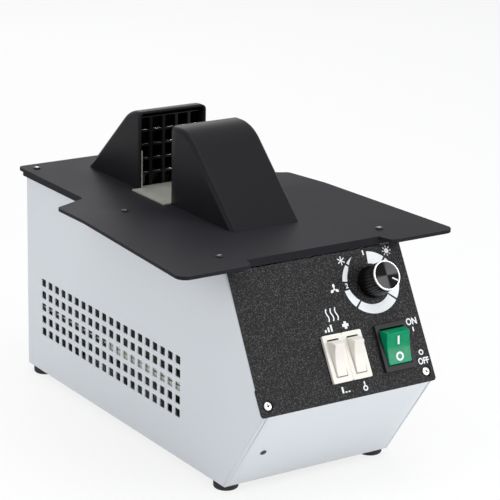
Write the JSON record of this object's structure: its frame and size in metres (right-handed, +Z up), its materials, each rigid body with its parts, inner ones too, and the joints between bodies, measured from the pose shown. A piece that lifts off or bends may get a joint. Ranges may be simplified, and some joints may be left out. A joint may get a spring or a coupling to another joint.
{
  "type": "eyeglass frame warmer",
  "caption": "Counter-top hot-air warmer for spectacle frames: vented steel cabinet, leaning control panel, winged tray, and two facing air hoods over a blower and heater.",
  "frame": {"origin": "on the counter, under the middle of the whole object", "axes": "+X to the right as the user sees it, -Y towards the user, +Z up"},
  "size_m": [0.217, 0.324, 0.2156],
  "materials": {
    "cabinet_paint": "satin light grey",
    "panel_paint": "fine wrinkle black",
    "tray_paint": "satin black",
    "hood_paint": "satin black",
    "grille_black": "matt black",
    "plated_steel": "dull plated",
    "foot_rubber": "matt",
    "screw_steel": "bright plated",
    "black_screw": "black oxide",
    "knob_plastic": "gloss",
    "cap_metal": "spun",
    "ivory_plastic": "satin",
    "black_plastic": "satin",
    "green_plastic": "translucent gloss",
    "terminal_brass": "plain",
    "control_steel": "plated",
    "copper_winding": "enamelled copper",
    "bearing_bronze": "sintered",
    "wheel_plastic": "plain",
    "mica": "matt",
    "heater_wire": "oxidised",
    "ceramic": "matt",
    "board_green": "satin",
    "fuse_glass": "clear",
    "wire_red": "satin"
  },
  "bodies": {
    "cabinet": {"base_plate": "cabinet_paint", "chin_panel": "cabinet_paint", "rear_panel": "cabinet_paint", "left_side": "cabinet_paint", "right_side": "cabinet_paint", "control_panel": "panel_paint", "tray": "tray_paint", "front_hood": "hood_paint", "rear_hood": "hood_paint", "front_grille": "grille_black", "rear_grille": "grille_black", "gap_floor": "plated_steel", "deck": "plated_steel", "heater_box": "plated_steel", "plenum": "plated_steel", "blower_housing": "plated_steel", "blower_cover": "plated_steel", "feet": "foot_rubber", "foot_screws": "screw_steel", "tray_screws": "screw_steel", "panel_screws": "screw_steel", "rear_screws": "screw_steel", "base_screws": "screw_steel", "chin_stud": "screw_steel", "control_nut": "screw_steel", "deck_screws": "screw_steel", "motor_screws": "screw_steel", "inlet_screws": "screw_steel", "inlet_pins": "screw_steel", "hood_screws": "black_screw", "plenum_screws": "black_screw", "heat_switch": "ivory_plastic", "boost_switch": "ivory_plastic", "terminal_block": "ivory_plastic", "board_posts": "ivory_plastic", "power_switch": "black_plastic", "mains_inlet": "black_plastic", "fuse_holder": "black_plastic", "fuse_cap": "black_plastic", "board_parts": "black_plastic", "switch_blades": "terminal_brass", "dial_control": "control_steel", "motor_case": "control_steel", "motor_end": "control_steel", "motor_stator": "copper_winding", "motor_bearings": "bearing_bronze", "heater_frames": "mica", "heater_coils": "heater_wire", "thermal_cutout": "ceramic", "circuit_board": "board_green", "fuse": "fuse_glass", "wiring": "wire_red"},
    "dial": {"knob": "knob_plastic", "knob_cap": "cap_metal", "control_shaft": "screw_steel"},
    "heat_rocker_body": {"heat_rocker": "ivory_plastic"},
    "boost_rocker_body": {"boost_rocker": "ivory_plastic"},
    "power_rocker_body": {"power_rocker": "green_plastic"},
    "fan": {"fan_wheel": "wheel_plastic", "motor_rotor": "control_steel"}
  },
  "joints": [
    {"name": "dial_turn", "type": "hinge", "parent": "cabinet", "child": "dial", "pos_m": [0.0388, -0.1307, 0.13518], "axis": [0, -0.8704, 0.4924], "range_deg": [-200, 100]},
    {"name": "heat_rock", "type": "hinge", "parent": "cabinet", "child": "heat_rocker_body", "pos_m": [-0.00382, -0.14851, 0.09355], "axis": [1, 0, 0], "range_deg": [-36, 0]},
    {"name": "boost_rock", "type": "hinge", "parent": "cabinet", "child": "boost_rocker_body", "pos_m": [0.01162, -0.14851, 0.09355], "axis": [1, 0, 0], "range_deg": [-36, 0]},
    {"name": "power_rock", "type": "hinge", "parent": "cabinet", "child": "power_rocker_body", "pos_m": [0.0434, -0.14851, 0.09355], "axis": [1, 0, 0], "range_deg": [-36, 0]},
    {"name": "fan_spin", "type": "hinge", "parent": "cabinet", "child": "fan", "pos_m": [0, 0.0412, 0.0505], "axis": [1, 0, 0], "continuous": true}
  ]
}
